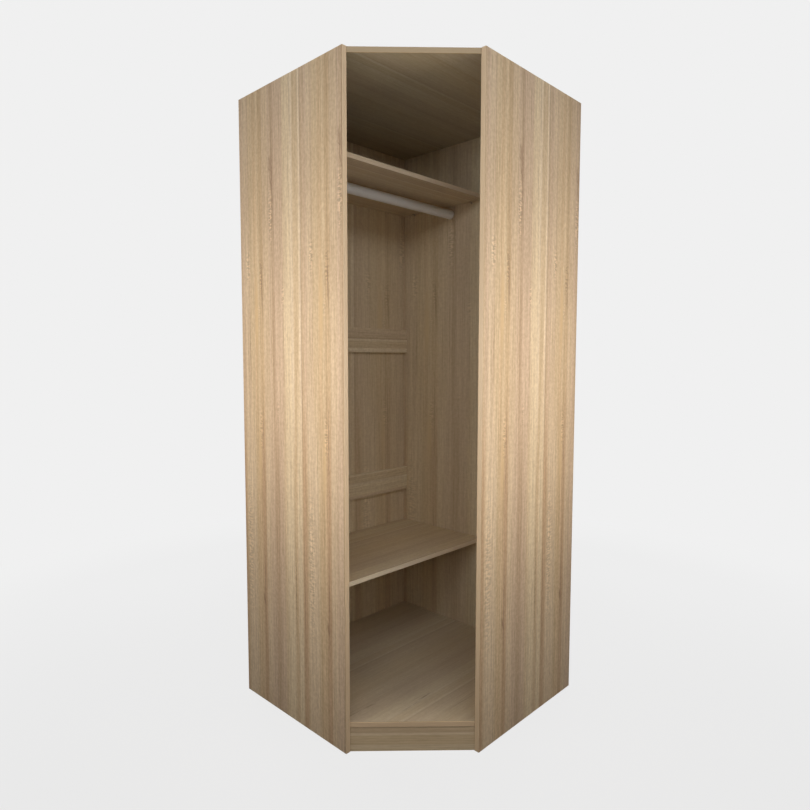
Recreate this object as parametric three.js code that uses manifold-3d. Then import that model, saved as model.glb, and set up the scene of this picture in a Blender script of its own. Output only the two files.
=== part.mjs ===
// Open corner wardrobe of laminated chipboard. The carcass fills a right-angled corner of a room: one wall
// is lined by a thin back sheet behind two rails, the other by a back board. The front opens on the diagonal.
// Millimetres, +Z up. The corner of the room is at -X, +Y and the opening faces +X, -Y.
// The origin is the middle of the square footprint, at floor level.

import * as THREE from "three";
import { mergeVertices } from "three/addons/utils/BufferGeometryUtils.js";
import Module from "manifold-3d";

// Driving dimensions of the carcass
const height = 2000;
const wallReach = 800; // length of each wall that the wardrobe covers
const cornerCut = 275; // how much the diagonal front cuts off the square's corner, along each side
const boardThickness = 16;
const sheetThickness = 3;
const plinthHeight = 74;
const plinthSetback = 2; // front plinth behind the front edge of the bottom panel
const mitreGap = 0.3; // between a mitred end and the side panel beside it

// Edge bands of ABS, glued on every edge that shows at the front
const bandThickness = 2;
const bandRound = 1.3; // radius along the two outer edges of a band
const glueLine = 0.1;

// Shelves, rails and back sheet
const shelfSetback = 106; // front of the shelves behind the front edge of the left side panel
const shelfSideGap = 0.5;
const topClearance = 216; // open height over the upper shelf
const lowerClearance = 355; // open height under the lower shelf
const railWidth = 96;
const lowerRailRise = 135; // lower rail above the lower shelf
const upperRailShare = 0.5075; // height of the upper rail's middle between lower rail and upper shelf
const sheetMargin = 2; // back sheet inside the outline of the carcass

// Hanging rod
const rodDiameter = 35;
const rodWall = 1.2;
const rodInset = 164; // from the front of the shelves to the axis of the rod
const rodDrop = 31; // from the underside of the upper shelf to the axis of the rod
const holderCollar = 3; // thickness of the collar between panel and rod
const holderRim = 0.5; // how far the collar stands out past the rod
const holderSpigot = 18; // how far the holder reaches into the rod
const holderWall = 2.4;
const holderChamfer = 0.5;
const rodFit = 0.2; // radial play between spigot and rod

// Wood screw that holds a rod holder
const screwDiameter = 4;
const screwHead = 8;
const screwHeadHeight = 2.2;
const screwFloor = 4; // wood left beyond the tip of the screw
const screwTip = 3;
const screwPlay = 0.2;

// Eccentric fittings between the top and bottom panels and the upright panels
const camDiameter = 15;
const camPlay = 0.15;
const camBelowAxis = 4.5; // depth of the cam's bore past the axis of the bolt
const camSunk = 0.3; // cam below the face of its board, and above the floor of its bore
const camDistance = 24; // from the edge of the board to the centre of the cam
const camHollow = 5.4; // radius of the hollow in the cam
const camOffset = 0.5; // how far the hollow is off the cam's centre, which draws the bolt in
const camSlotPlay = 0.35;
const camCrossLength = 7;
const camCrossWidth = 1.6;
const camCrossDepth = 2.2;
const camInset = 60; // from the end of a board's edge to the nearest cam
const backCamInset = 155; // the same on the long edge, along the back board
const boltBore = 8;
const boltShaft = 6;
const boltNeck = 3.6;
const boltHead = 6;
const boltHeadLength = 2.4;
const boltHeadSeat = 3.6; // from the centre of the cam to the back of the bolt's head
const boltCollar = 7.4;
const boltCollarLength = 1.5;
const boltThread = 5;
const boltThreadFloor = 5; // wood left beyond the end of the bolt
const boltPlay = 0.15;

// Beech dowels in the upright joint between the back board and the right side panel
const dowelCount = 3;
const dowelDiameter = 8;
const dowelLength = 30;
const dowelFloor = 5; // wood left in the side panel beyond the dowel
const dowelChamfer = 1;
const dowelPlay = 0.1;
const dowelSpare = 1; // empty bore past each end of a dowel
const dowelInset = 300; // from the floor and from the top to the nearest dowel

// Support pins under the shelves
const pinDiameter = 5;
const pinDepth = 8;
const pinPlay = 0.15;
const pinCollar = 8;
const pinCollarThickness = 1.2;
const pinTongueLength = 12;
const pinTongueWidth = 7;
const pinTongueThickness = 2;
const pinInset = 60; // from the front and the rear edge of the shelf

const overrun = 1; // how far a cutter runs past the face that it opens

// Worked out from the sizes above
const outer = wallReach / 2;
const inner = outer - boardThickness;
const sideReach = wallReach - cornerCut;
const backFace = -outer + sheetThickness;
const sideFront = sideReach - outer;
const shelfFront = sideFront - shelfSetback;
const mouthHalf = (inner - sideFront) * Math.SQRT1_2;
const mouthMiddle = (inner + sideFront) / 2;
const floorTop = plinthHeight + boardThickness;
const ceiling = height - boardThickness;
const upperShelfTop = ceiling - topClearance;
const upperShelfUnder = upperShelfTop - boardThickness;
const lowerShelfUnder = floorTop + lowerClearance;
const lowerShelfTop = lowerShelfUnder + boardThickness;
const lowerRailUnder = lowerShelfTop + lowerRailRise;
const lowerRailTop = lowerRailUnder + railWidth;
const lowerRailMiddle = lowerRailUnder + railWidth / 2;
const upperRailMiddle = lowerRailTop + upperRailShare * (upperShelfUnder - lowerRailTop);
const rodX = shelfFront - rodInset;
const rodZ = upperShelfUnder - rodDrop;

const oak = new THREE.MeshStandardMaterial({ color: 0xc2a57c, roughness: 0.55, metalness: 0 });
const band = new THREE.MeshStandardMaterial({ color: 0xcdb289, roughness: 0.5, metalness: 0 });
const hardboard = new THREE.MeshStandardMaterial({ color: 0xb99c74, roughness: 0.6, metalness: 0 });
const coatedSteel = new THREE.MeshStandardMaterial({ color: 0xc4bdb6, roughness: 0.35, metalness: 0.4 });
const greyPlastic = new THREE.MeshStandardMaterial({ color: 0x9a948c, roughness: 0.5, metalness: 0 });
const zinc = new THREE.MeshStandardMaterial({ color: 0xa3a6a8, roughness: 0.45, metalness: 1 });
const beech = new THREE.MeshStandardMaterial({ color: 0xcfae82, roughness: 0.7, metalness: 0 });
const brightSteel = new THREE.MeshStandardMaterial({ color: 0xc0c2c4, roughness: 0.3, metalness: 1 });

const manifold = await Module();
manifold.setup();

const wardrobe = new THREE.Group();

// Solids and meshes

function solidOf(geometry) {
  const plain = geometry.clone();
  plain.deleteAttribute("normal");
  plain.deleteAttribute("uv");
  const merged = mergeVertices(plain);
  return new manifold.Manifold(new manifold.Mesh({
    numProp: 3,
    vertProperties: new Float32Array(merged.attributes.position.array),
    triVerts: new Uint32Array(merged.index.array),
  }));
}

function geometryOf(solid) {
  const mesh = solid.getMesh();
  const geometry = new THREE.BufferGeometry();
  geometry.setAttribute("position", new THREE.BufferAttribute(new Float32Array(mesh.vertProperties), 3));
  geometry.setIndex(new THREE.BufferAttribute(new Uint32Array(mesh.triVerts), 1));
  geometry.computeVertexNormals();
  return geometry;
}

function joined(geometries) {
  const solids = geometries.map(solidOf);
  return geometryOf(solids.reduce((whole, solid) => whole.add(solid)));
}

function cutFrom(geometry, cutters) {
  const solid = solidOf(geometry);
  return geometryOf(cutters.reduce((rest, cutter) => rest.subtract(solidOf(cutter)), solid));
}

function addMesh(parent, name, geometry, material, x = 0, y = 0, z = 0) {
  const mesh = new THREE.Mesh(geometry, material);
  mesh.name = name;
  mesh.position.set(x, y, z);
  parent.add(mesh);
  return mesh;
}

function inPlace(geometry, place) {
  place.updateWorldMatrix(true, false);
  return geometry.clone().applyMatrix4(place.matrixWorld);
}

// Cuts bores, given in the wardrobe's own frame, out of a mesh that is already in place.
function drill(mesh, cutters) {
  mesh.updateWorldMatrix(true, false);
  const toMesh = mesh.matrixWorld.clone().invert();
  mesh.geometry = cutFrom(mesh.geometry, cutters.map((cutter) => cutter.clone().applyMatrix4(toMesh)));
}

// A block with one corner at its origin
function block(lengthX, lengthY, lengthZ) {
  return new THREE.BoxGeometry(lengthX, lengthY, lengthZ).translate(lengthX / 2, lengthY / 2, lengthZ / 2);
}

function prism(points, thickness) {
  const outline = new THREE.Shape(points.map(([x, y]) => new THREE.Vector2(x, y)));
  return new THREE.ExtrudeGeometry(outline, { depth: thickness, bevelEnabled: false });
}

// A round bar along +X from its origin
function barAlongX(diameter, length, sides) {
  const bar = new THREE.CylinderGeometry(diameter / 2, diameter / 2, length, sides);
  return bar.rotateZ(-Math.PI / 2).translate(length / 2, 0, 0);
}

// A solid of revolution about X, from pairs of distance along X and radius
function turnedAlongX(profile, sides) {
  const points = profile.map(([along, radius]) => new THREE.Vector2(radius, along));
  return new THREE.LatheGeometry(points, sides).rotateZ(-Math.PI / 2);
}

// Panels of the carcass

function sidePanels() {
  const boardLength = sideReach - bandThickness - glueLine;
  const left = addMesh(wardrobe, "left_side_panel",
    block(boardLength - outer - backFace, boardThickness, height), oak, backFace, -outer, 0);
  const right = addMesh(wardrobe, "right_side_panel",
    block(boardThickness, boardLength, height), oak, inner, outer - boardLength, 0);
  return { left, right };
}

function backBoard() {
  return addMesh(wardrobe, "right_back_panel",
    block(inner - backFace, boardThickness, height), oak, backFace, inner, 0);
}

// Top and bottom panels: a square with the front corner cut off along the diagonal opening
function cornerPanel(name, z) {
  const cut = inner + sideFront - (bandThickness + glueLine) * Math.SQRT2;
  const outline = [
    [backFace, -inner],
    [cut - inner, -inner],
    [inner, inner - cut],
    [inner, inner],
    [backFace, inner],
  ];
  return addMesh(wardrobe, name, prism(outline, boardThickness), oak, 0, 0, z);
}

function shelf(name, underside) {
  const depth = shelfFront - bandThickness - glueLine - backFace;
  const length = 2 * (inner - shelfSideGap);
  const board = block(depth, length, boardThickness);
  return addMesh(wardrobe, name, board, oak, backFace, -length / 2, underside);
}

function backRail(name, middle) {
  return addMesh(wardrobe, name,
    block(boardThickness, 2 * inner, railWidth), oak, backFace, -inner, middle - railWidth / 2);
}

function backSheet() {
  const sheetWidth = wallReach - 2 * sheetMargin;
  const sheetHeight = height - 2 * sheetMargin;
  const sheet = block(sheetThickness, sheetWidth, sheetHeight);
  addMesh(wardrobe, "back_sheet", sheet, hardboard, -outer, -sheetWidth / 2, sheetMargin);
}

// Edge bands

// Section of a band: outwards along X, across the edge of the board along Y, with the outer edges rounded
function bandSection() {
  const section = new THREE.Shape();
  const flat = bandThickness - bandRound;
  section.moveTo(0, 0);
  section.lineTo(flat, 0);
  section.absarc(flat, bandRound, bandRound, -Math.PI / 2, 0, false);
  section.absarc(flat, boardThickness - bandRound, bandRound, 0, Math.PI / 2, false);
  section.lineTo(0, boardThickness);
  return section;
}

function bandOf(length) {
  return new THREE.ExtrudeGeometry(bandSection(), { depth: length, bevelEnabled: false, curveSegments: 4 });
}

function uprightBands() {
  const back = sideFront - bandThickness;
  addMesh(wardrobe, "left_side_edge_band", bandOf(height), band, back, -outer, 0);
  const right = addMesh(wardrobe, "right_side_edge_band", bandOf(height), band, inner, -back, 0);
  right.rotation.z = -Math.PI / 2;
}

function shelfBand(name, underside) {
  const end = inner - shelfSideGap;
  const strip = addMesh(wardrobe, name, bandOf(2 * end), band, shelfFront - bandThickness, end, underside);
  strip.rotation.x = Math.PI / 2;
}

// The diagonal front: its own group, with X along the opening and Y into the wardrobe

function diagonalFront() {
  const front = new THREE.Group();
  front.position.set(mouthMiddle, -mouthMiddle, 0);
  front.rotation.z = Math.PI / 4;
  wardrobe.add(front);
  return front;
}

// A board or strip between the side panels, which open at 45 degrees to the front
function betweenSides(near, far, thickness) {
  const nearHalf = mouthHalf - mitreGap + near;
  const farHalf = mouthHalf - mitreGap + far;
  const outline = [[-nearHalf, near], [nearHalf, near], [farHalf, far], [-farHalf, far]];
  return prism(outline, thickness);
}

function frontBand(front, name, underside) {
  const length = 2 * (mouthHalf + bandThickness);
  const lying = bandOf(length).rotateX(Math.PI / 2).rotateZ(-Math.PI / 2);
  const strip = lying.translate(length / 2, bandThickness, 0);
  const between = solidOf(betweenSides(0, bandThickness, boardThickness));
  addMesh(front, name, geometryOf(solidOf(strip).intersect(between)), band, 0, 0, underside);
}

function plinths(front) {
  const near = plinthSetback;
  const far = plinthSetback + boardThickness;
  addMesh(front, "front_plinth", betweenSides(near, far, plinthHeight), oak);
  addMesh(wardrobe, "rear_plinth", block(boardThickness, 2 * inner, plinthHeight), oak, backFace, -inner, 0);
}

// Eccentric fittings. Each has its own frame: X towards the upright panel, with 0 at the edge of the board,
// and Z towards the face that the cam is let into, with 0 at the middle of the board.

const camTop = boardThickness / 2 - camSunk;
const camBottom = -camBelowAxis + camSunk;
const slotHalf = boltNeck / 2 + camSlotPlay;
const headHalf = boltHead / 2 + camSlotPlay;

// Part of a ring about the cam's axis, wide enough to cut the slot through the cam's wall
function ringSector(fromAngle, toAngle, halfHeight) {
  const sector = new THREE.Shape();
  const reach = camDiameter / 2 + overrun;
  const hub = boltHeadSeat / 2;
  sector.absarc(0, 0, reach, fromAngle, toAngle, false);
  sector.absarc(0, 0, hub, toAngle, fromAngle, true);
  const depth = 2 * halfHeight;
  return new THREE.ExtrudeGeometry(sector, { depth, bevelEnabled: false, curveSegments: 6 })
    .translate(0, 0, -halfHeight);
}

// Zinc cam: a drum with an off-centre hollow, open below. The bolt's head enters by the wide mouth and is
// held behind the narrow slot once the drum is turned.
function camGeometry() {
  const radius = camDiameter / 2 - camPlay;
  const drumHeight = camTop - camBottom;
  const drum = new THREE.CylinderGeometry(radius, radius, drumHeight, 20)
    .rotateX(Math.PI / 2).translate(0, 0, camBottom + drumHeight / 2);
  const hollowHeight = headHalf - camBottom + overrun;
  const hollow = new THREE.CylinderGeometry(camHollow, camHollow, hollowHeight, 16)
    .rotateX(Math.PI / 2).translate(-camOffset, 0, headHalf - hollowHeight / 2);
  const slot = ringSector(-Math.PI / 5, 2 * Math.PI / 3, slotHalf);
  const mouth = barAlongX(2 * headHalf, camDiameter / 2 + overrun, 10).rotateZ(2 * Math.PI / 3);
  const bar = new THREE.BoxGeometry(camCrossLength, camCrossWidth, 2 * camCrossDepth);
  const crossBar = bar.clone().rotateZ(Math.PI / 2);
  const cuts = [hollow, slot, mouth, bar.translate(0, 0, camTop), crossBar.translate(0, 0, camTop)];
  return cutFrom(drum, cuts).translate(-camDistance, 0, 0);
}

// Steel bolt: thread in the upright panel, collar at the edge of the board, neck and domed head in the cam
function boltGeometry() {
  const threadEnd = boardThickness - boltThreadFloor;
  const seat = boltHeadSeat - camDistance;
  const headEnd = seat - boltHeadLength;
  const neckEnd = -camDistance + camDiameter / 2 + camPlay;
  const headRadius = boltHead / 2;
  return turnedAlongX([
    [headEnd, 0],
    [headEnd, headRadius / 2],
    [headEnd + boltHeadLength / 3, headRadius],
    [seat, headRadius],
    [seat, boltNeck / 2],
    [neckEnd, boltNeck / 2],
    [neckEnd, boltShaft / 2],
    [-boltCollarLength, boltShaft / 2],
    [-boltCollarLength, boltCollar / 2],
    [0, boltCollar / 2],
    [0, boltThread / 2 - boltPlay],
    [threadEnd - boltThread / 2, boltThread / 2 - boltPlay],
    [threadEnd, boltThread / 4],
    [threadEnd, 0],
  ], 12);
}

const camShape = camGeometry();
const boltShape = boltGeometry();

// Where the fittings sit along the three glued-up edges of a corner panel, and which upright each one grips
function fittingPlaces() {
  const sideFarEnd = sideFront - camInset;
  return [
    { label: "left", x: backFace + camInset, y: -inner, turn: -Math.PI / 2 },
    { label: "left", x: sideFarEnd, y: -inner, turn: -Math.PI / 2 },
    { label: "back", x: backFace + backCamInset, y: inner, turn: Math.PI / 2 },
    { label: "back", x: inner - backCamInset, y: inner, turn: Math.PI / 2 },
    { label: "right", x: inner, y: inner - camInset, turn: 0 },
    { label: "right", x: inner, y: -sideFarEnd, turn: 0 },
  ];
}

function camBore() {
  const depth = boardThickness / 2 + camBelowAxis + overrun;
  return new THREE.CylinderGeometry(camDiameter / 2, camDiameter / 2, depth, 20)
    .rotateX(Math.PI / 2).translate(-camDistance, 0, depth / 2 - camBelowAxis);
}

function fastenCorner(panel, uprights, prefix, middleZ, facingDown) {
  const boardBores = [];
  const uprightBores = { left: [], back: [], right: [] };
  const count = { left: 0, back: 0, right: 0 };
  for (const { label, x, y, turn } of fittingPlaces()) {
    count[label] += 1;
    const place = new THREE.Group();
    place.rotation.order = "ZYX";
    place.position.set(x, y, middleZ);
    place.rotation.z = turn;
    place.rotation.x = facingDown ? Math.PI : 0;
    wardrobe.add(place);
    addMesh(place, `${prefix}_${label}_cam_${count[label]}`, camShape, zinc);
    addMesh(place, `${prefix}_${label}_bolt_${count[label]}`, boltShape, brightSteel);
    const shaftBore = barAlongX(boltBore, camDistance + overrun, 12).translate(-camDistance, 0, 0);
    const threadBore = barAlongX(boltThread, boardThickness - boltThreadFloor + 2 * overrun, 12)
      .translate(-overrun, 0, 0);
    boardBores.push(inPlace(camBore(), place), inPlace(shaftBore, place));
    uprightBores[label].push(inPlace(threadBore, place));
  }
  drill(panel, boardBores);
  for (const label of Object.keys(uprightBores)) {
    drill(uprights[label], uprightBores[label]);
  }
}

// Dowels: X out of the end of the back board into the side panel, with 0 at the joint

function dowelGeometry(fromX, toX) {
  const radius = dowelDiameter / 2 - dowelPlay;
  return turnedAlongX([
    [fromX, 0],
    [fromX, radius - dowelChamfer],
    [fromX + dowelChamfer, radius],
    [toX - dowelChamfer, radius],
    [toX, radius - dowelChamfer],
    [toX, 0],
  ], 12);
}

function cornerDowels(backBoardMesh, sidePanel) {
  const toX = boardThickness - dowelFloor;
  const fromX = toX - dowelLength;
  const shape = dowelGeometry(fromX, toX);
  const step = (height - 2 * dowelInset) / (dowelCount - 1);
  const bores = [];
  for (let index = 0; index < dowelCount; index += 1) {
    const middleY = inner + boardThickness / 2;
    const z = dowelInset + index * step;
    const dowel = addMesh(wardrobe, `corner_dowel_${index + 1}`, shape, beech, inner, middleY, z);
    const hole = barAlongX(dowelDiameter, dowelLength + 2 * dowelSpare, 12);
    const bore = hole.translate(fromX - dowelSpare, 0, 0);
    bores.push(inPlace(bore, dowel));
  }
  drill(backBoardMesh, bores);
  drill(sidePanel, bores);
}

// Shelf pins: X towards the middle of the shelf, with 0 at the face of the upright that carries the pin

function pinGeometry() {
  const shank = turnedAlongX([
    [-pinDepth, 0],
    [-pinDepth, pinDiameter / 2 - pinPlay],
    [0, pinDiameter / 2 - pinPlay],
    [0, pinCollar / 2],
    [pinCollarThickness, pinCollar / 2],
    [pinCollarThickness, 0],
  ], 12).translate(0, 0, -pinCollar / 2);
  const tongueLength = pinTongueLength + pinCollarThickness / 2;
  const tongue = new THREE.BoxGeometry(tongueLength, pinTongueWidth, pinTongueThickness)
    .translate(pinCollarThickness / 2 + tongueLength / 2, 0, -pinTongueThickness / 2);
  return joined([shank, tongue]);
}

const pinShape = pinGeometry();

function shelfPins(prefix, underside, uprights) {
  const sides = [
    { label: "left", y: -inner, turn: Math.PI / 2 },
    { label: "right", y: inner, turn: -Math.PI / 2 },
  ];
  const places = [
    { label: "rear", x: backFace + pinInset },
    { label: "front", x: shelfFront - pinInset },
  ];
  for (const side of sides) {
    const bores = [];
    for (const { label, x } of places) {
      const name = `${prefix}_pin_${side.label}_${label}`;
      const pin = addMesh(wardrobe, name, pinShape, brightSteel, x, side.y, underside);
      pin.rotation.z = side.turn;
      const bore = barAlongX(pinDiameter, pinDepth + 2 * overrun, 12)
        .translate(-pinDepth - overrun, 0, -pinCollar / 2);
      bores.push(inPlace(bore, pin));
    }
    drill(uprights[side.label], bores);
  }
}

// Hanging rod, its two holders and their screws. A holder has X along the rod, with 0 at the upright's face.

function rodTube() {
  const length = 2 * (inner - holderCollar);
  const ring = new THREE.Shape();
  ring.absarc(0, 0, rodDiameter / 2, 0, 2 * Math.PI, false);
  const bore = new THREE.Path();
  bore.absarc(0, 0, rodDiameter / 2 - rodWall, 0, 2 * Math.PI, true);
  ring.holes.push(bore);
  const tube = new THREE.ExtrudeGeometry(ring, { depth: length, bevelEnabled: false, curveSegments: 24 });
  tube.translate(0, 0, -length / 2).rotateX(Math.PI / 2);
  addMesh(wardrobe, "hanging_rod", tube, coatedSteel, rodX, 0, rodZ);
}

// Cup that plugs the end of the rod: a collar against the panel and a hollow spigot in the tube
function holderGeometry() {
  const spigot = rodDiameter / 2 - rodWall - rodFit;
  const end = holderCollar + holderSpigot;
  const collar = rodDiameter / 2 + holderRim;
  const hole = screwDiameter / 2 + screwPlay;
  const sink = screwHead / 2 + screwPlay;
  return turnedAlongX([
    [0, hole],
    [0, collar],
    [holderCollar - holderChamfer, collar],
    [holderCollar, collar - holderChamfer],
    [holderCollar, spigot],
    [end - holderChamfer, spigot],
    [end, spigot - holderChamfer],
    [end, spigot - holderWall],
    [holderCollar, spigot - holderWall],
    [holderCollar, sink],
    [holderCollar - screwHeadHeight, hole],
    [0, hole],
  ], 28);
}

function screwGeometry() {
  const length = boardThickness - screwFloor;
  return turnedAlongX([
    [-length, 0],
    [screwTip - length, screwDiameter / 2],
    [holderCollar - screwHeadHeight, screwDiameter / 2],
    [holderCollar, screwHead / 2],
    [holderCollar, 0],
  ], 12);
}

function hangingRod(uprights) {
  rodTube();
  const sides = [
    { label: "left", y: -inner, turn: Math.PI / 2 },
    { label: "right", y: inner, turn: -Math.PI / 2 },
  ];
  for (const { label, y, turn } of sides) {
    const place = new THREE.Group();
    place.position.set(rodX, y, rodZ);
    place.rotation.z = turn;
    wardrobe.add(place);
    addMesh(place, `${label}_rod_holder`, holderGeometry(), greyPlastic);
    addMesh(place, `${label}_rod_screw`, screwGeometry(), brightSteel);
    const depth = boardThickness - screwFloor + overrun;
    const bore = barAlongX(screwDiameter + 2 * screwPlay, depth + overrun, 12).translate(-depth, 0, 0);
    drill(uprights[label], [inPlace(bore, place)]);
  }
}

const { left, right } = sidePanels();
const back = backBoard();
const topPanel = cornerPanel("top_panel", ceiling);
const bottomPanel = cornerPanel("bottom_panel", plinthHeight);
shelf("upper_shelf", upperShelfUnder);
shelf("lower_shelf", lowerShelfUnder);
backRail("upper_back_rail", upperRailMiddle);
backRail("lower_back_rail", lowerRailMiddle);
backSheet();

uprightBands();
shelfBand("upper_shelf_edge_band", upperShelfUnder);
shelfBand("lower_shelf_edge_band", lowerShelfUnder);
const front = diagonalFront();
frontBand(front, "top_edge_band", ceiling);
frontBand(front, "bottom_edge_band", plinthHeight);
plinths(front);

fastenCorner(topPanel, { left, back, right }, "top", ceiling + boardThickness / 2, false);
fastenCorner(bottomPanel, { left, back, right }, "bottom", plinthHeight + boardThickness / 2, true);
cornerDowels(back, right);
shelfPins("upper_shelf", upperShelfUnder, { left, right: back });
shelfPins("lower_shelf", lowerShelfUnder, { left, right: back });
hangingRod({ left, right: back });

export default wardrobe;
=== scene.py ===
"""Looks of an open corner wardrobe of oak-printed melamine board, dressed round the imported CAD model.

Metres, +Z up. The corner of the room is at -X, +Y and the diagonal opening faces +X, -Y. The boards, bands
and fittings keep their CAD meshes and get their finishes here. The tube of the hanging rail is turned again
with fine sections, and the nails of the back sheet are added.
"""

import logging
import math
from collections.abc import Iterable, Sequence
from dataclasses import dataclass, field
from enum import Enum
from typing import Any

import bmesh
import bpy
from mathutils import Matrix, Vector


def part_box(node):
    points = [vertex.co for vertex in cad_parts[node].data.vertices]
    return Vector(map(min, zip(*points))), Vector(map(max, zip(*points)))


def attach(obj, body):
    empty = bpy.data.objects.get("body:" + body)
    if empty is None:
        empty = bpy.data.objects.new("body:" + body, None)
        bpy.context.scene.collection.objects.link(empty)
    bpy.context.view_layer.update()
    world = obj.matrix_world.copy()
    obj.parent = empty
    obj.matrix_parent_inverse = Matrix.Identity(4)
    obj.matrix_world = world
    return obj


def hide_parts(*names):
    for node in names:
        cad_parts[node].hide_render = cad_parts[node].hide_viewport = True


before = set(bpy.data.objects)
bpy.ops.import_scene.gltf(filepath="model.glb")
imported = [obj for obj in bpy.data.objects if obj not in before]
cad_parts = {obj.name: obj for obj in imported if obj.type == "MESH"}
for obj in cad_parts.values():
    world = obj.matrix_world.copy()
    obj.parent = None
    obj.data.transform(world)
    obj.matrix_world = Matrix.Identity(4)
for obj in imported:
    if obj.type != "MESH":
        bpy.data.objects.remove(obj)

log = logging.getLogger("corner_wardrobe")

MM = 0.001

Socket = bpy.types.NodeSocket
Triple = tuple[float, float, float]
Colour = tuple[float, float, float, float]

SLANT = math.sqrt(0.5)

# Share of a shade that reaches red, green and blue: the dark fibres of oak are browner than the light ones
BROWNING: Triple = (0.84, 1.0, 1.16)

# A surface faces one way where the cosine of its turn from that way is above this, which is about 45 degrees
FACING = 0.7

# Points nearer to each other than this become one
WELD = 0.001 * MM

# Inputs of a Mix node, by number: its share, and the two numbers or the two colours that it mixes
SHARE, NUMBER_A, NUMBER_B, COLOUR_A, COLOUR_B = 0, 2, 3, 6, 7
# Its colour output, by number
MIXED = 2


def linear(code: str) -> Colour:
    """Turns an sRGB hex colour into Blender's linear values, with the numbers of the sRGB standard.

    Args:
        code: Colour such as "#DCC29A".

    Returns:
        Linear red, green and blue, and full opacity.
    """
    parts = [int(code[start:start + 2], 16) / 255 for start in (1, 3, 5)]
    red, green, blue = [p / 12.92 if p <= 0.04045 else ((p + 0.055) / 1.055) ** 2.4 for p in parts]
    return red, green, blue, 1.0


def set_inputs(tree: bpy.types.NodeTree, node: bpy.types.Node, inputs: dict[str | int, Any]) -> None:
    """Sets or links inputs of a node.

    Args:
        tree: Node tree that the node is in.
        node: The node.
        inputs: Value or source socket for each input, by name or number.
    """
    for key, value in inputs.items():
        if isinstance(value, Socket):
            tree.links.new(value, node.inputs[key])
        else:
            node.inputs[key].default_value = value


def add_node(
    tree: bpy.types.NodeTree,
    kind: str,
    inputs: dict[str | int, Any] | None = None,
    stops: Sequence[tuple[float, Any]] = (),
    **settings: Any,
) -> bpy.types.Node:
    """Adds a node with its settings, its values and its links.

    Args:
        tree: Node tree that takes the node.
        kind: Type of the node, such as "ShaderNodeMath".
        inputs: Value or source socket for each input, by name or number.
        stops: Places and colours of a colour ramp.
        **settings: Properties of the node.

    Returns:
        The new node.
    """
    node = tree.nodes.new(kind)
    for name, value in settings.items():
        setattr(node, name, value)
    if stops:
        elements = node.color_ramp.elements
        while len(elements) < len(stops):
            elements.new(1.0)
        for element, (place, colour) in zip(elements, stops):
            element.position = place
            element.color = colour
    set_inputs(tree, node, inputs or {})
    return node


def new_material(name: str) -> tuple[bpy.types.Material, bpy.types.NodeTree, bpy.types.Node]:
    """Makes a material with an empty tree and a Principled shader on its output.

    Args:
        name: Name of the finish.

    Returns:
        The material, its node tree and the shader node.
    """
    material = bpy.data.materials.new(name)
    material.use_nodes = True
    tree = material.node_tree
    tree.nodes.clear()
    shader = add_node(tree, "ShaderNodeBsdfPrincipled")
    add_node(tree, "ShaderNodeOutputMaterial", {"Surface": shader.outputs["BSDF"]})
    return material, tree, shader


class Grain(Enum):
    """Run of the print on a board: along the fibres, across them, and out of its face."""

    UPRIGHT_FACING_Y = ((0.0, 0.0, 1.0), (1.0, 0.0, 0.0), (0.0, 1.0, 0.0))
    UPRIGHT_FACING_X = ((0.0, 0.0, 1.0), (0.0, 1.0, 0.0), (1.0, 0.0, 0.0))
    LYING = ((0.0, 1.0, 0.0), (1.0, 0.0, 0.0), (0.0, 0.0, 1.0))
    RAIL = ((0.0, 1.0, 0.0), (0.0, 0.0, 1.0), (1.0, 0.0, 0.0))
    DIAGONAL = ((SLANT, SLANT, 0.0), (0.0, 0.0, 1.0), (SLANT, -SLANT, 0.0))

    @property
    def along(self) -> Triple:
        """Direction of the fibres."""
        return self.value[0]

    @property
    def across(self) -> Triple:
        """Direction across the fibres, in the board's face."""
        return self.value[1]

    @property
    def out(self) -> Triple:
        """Direction of the board's face."""
        return self.value[2]


class Tone(Enum):
    """Tones of the oak print, as sRGB."""

    CRACK = "#8F6F56"
    BROWN = "#C8A885"
    DUSK = "#BB9F82"
    SHADOW = "#C4A889"
    BARK = "#CCB08A"
    GREY = "#D0B695"
    ROSE = "#D2B89A"
    PALE_ROSE = "#D9C1A0"
    STRAW_ROSE = "#DDC5A4"
    HONEY = "#D4B892"
    AMBER = "#DABC8E"
    OLIVE = "#D5BC97"
    STRAW = "#D6BD9B"
    TAN = "#D7BE99"
    PALE_STRAW = "#E1CBA8"
    BRIGHT = "#E5D0B1"
    CREAM = "#E8D3B4"

    @property
    def colour(self) -> Colour:
        """Linear values of the tone."""
        return linear(self.value)


@dataclass(frozen=True)
class Mark:
    """Lens-shaped mark in the print, its top leaning left: part of a knot or crack, or a patch of rays."""

    across: float
    along: float
    half_width: float
    half_length: float
    lean_deg: float = 0.0
    strength: float = 1.0


@dataclass(frozen=True)
class Cut:
    """How a piece is cut from the printed paper.

    The offsets are metres of the board, across and along the fibres. The walls carry the paper drawn wider. A
    marked piece shows the paper's knots, rays and cracks. Contrast and mottled are shares of the full print.
    The cracks that only this piece shows are placed in the same metres, with the offsets added.
    """

    grain: Grain
    across: float
    along: float = 0.0
    drawn_wider: float = 1.0
    marked: bool = False
    contrast: float = 1.0
    mottled: float = 1.0
    cracks: tuple[Mark, ...] = ()


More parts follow.
